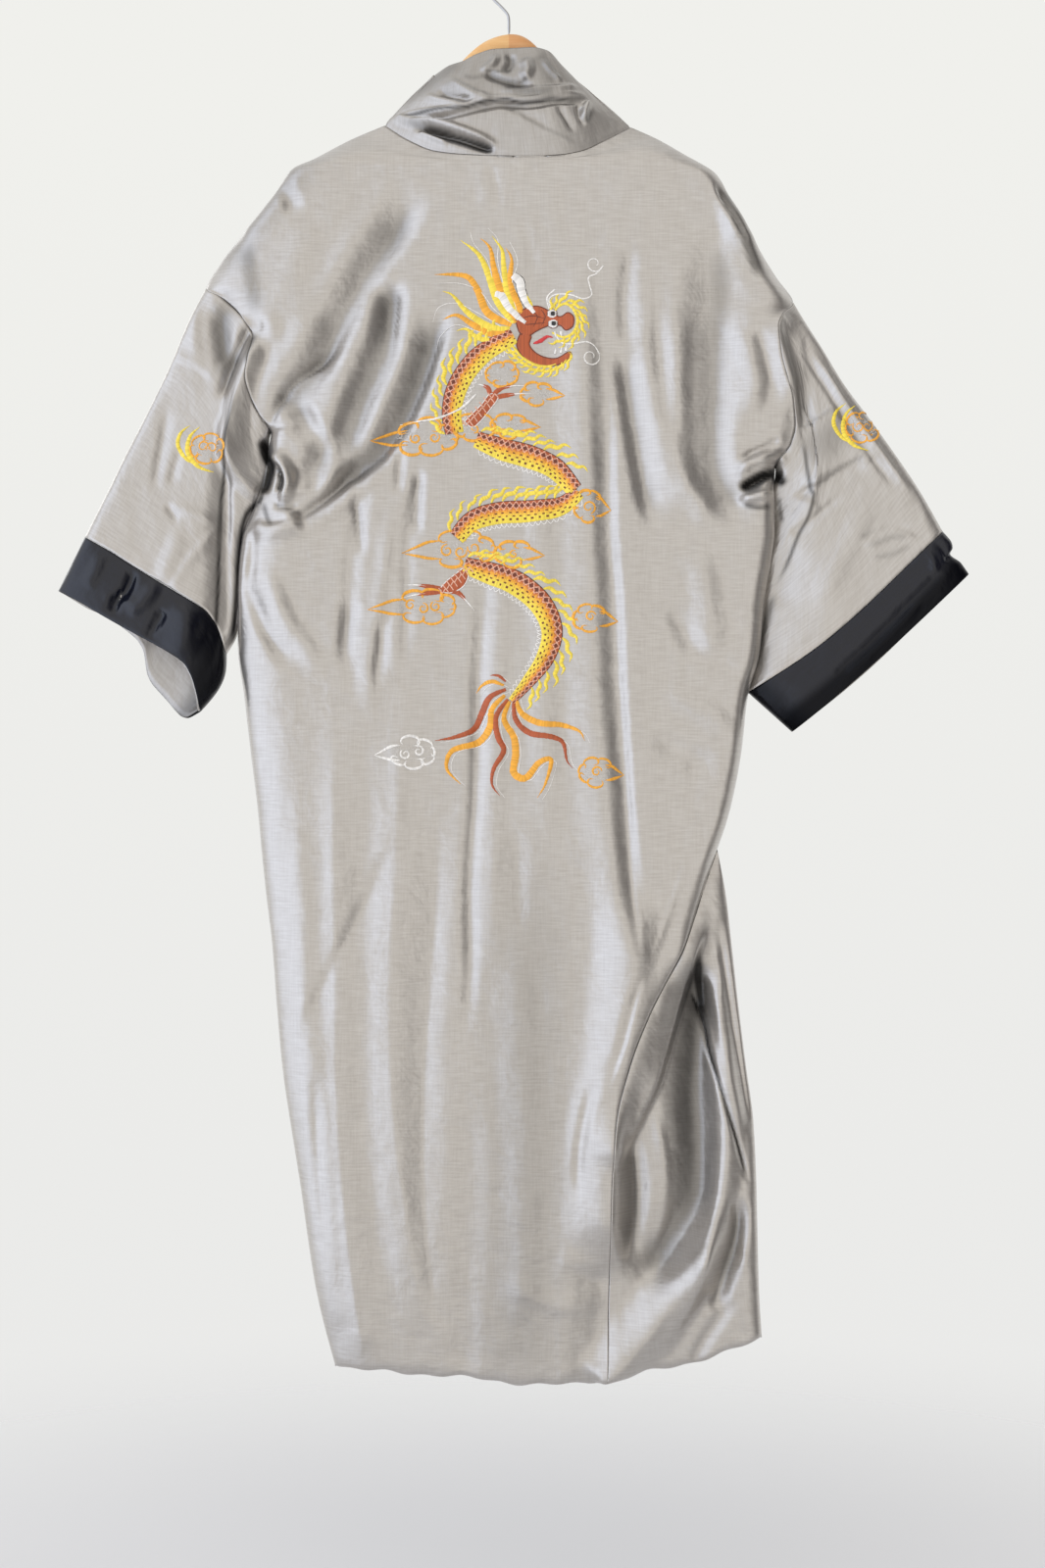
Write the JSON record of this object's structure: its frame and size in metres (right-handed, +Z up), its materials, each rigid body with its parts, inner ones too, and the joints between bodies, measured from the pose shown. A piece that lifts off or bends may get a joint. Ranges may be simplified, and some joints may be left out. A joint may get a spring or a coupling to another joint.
{
  "type": "kimono robe on a wooden clothes hanger",
  "caption": "Long satin kimono robe with dropped-shoulder sleeves, contrast cuffs and a wide collar band, hanging open-fronted on a wooden hanger with a wire hook.",
  "frame": {"origin": "the inside top of the hanger's hook, where a rail carries it", "axes": "+Z up, +Y out of the robe's open front, +X towards the wearer's right sleeve"},
  "size_m": [0.962, 0.0731, 1.4929],
  "materials": {
    "grey_satin": "woven satin with a soft sheen",
    "black_satin": "woven black satin",
    "beech": "clear satin varnish",
    "steel_wire": "bright wire"
  },
  "bodies": {
    "root": {"back": "grey_satin", "front_left": "grey_satin", "front_right": "grey_satin", "sleeve_left": "grey_satin", "sleeve_right": "grey_satin", "collar": "grey_satin", "cuff_facing_left": "grey_satin", "cuff_facing_right": "grey_satin", "cuff_left": "black_satin", "cuff_right": "black_satin", "hanger_body": "beech", "hanger_hook": "steel_wire"}
  },
  "joints": []
}
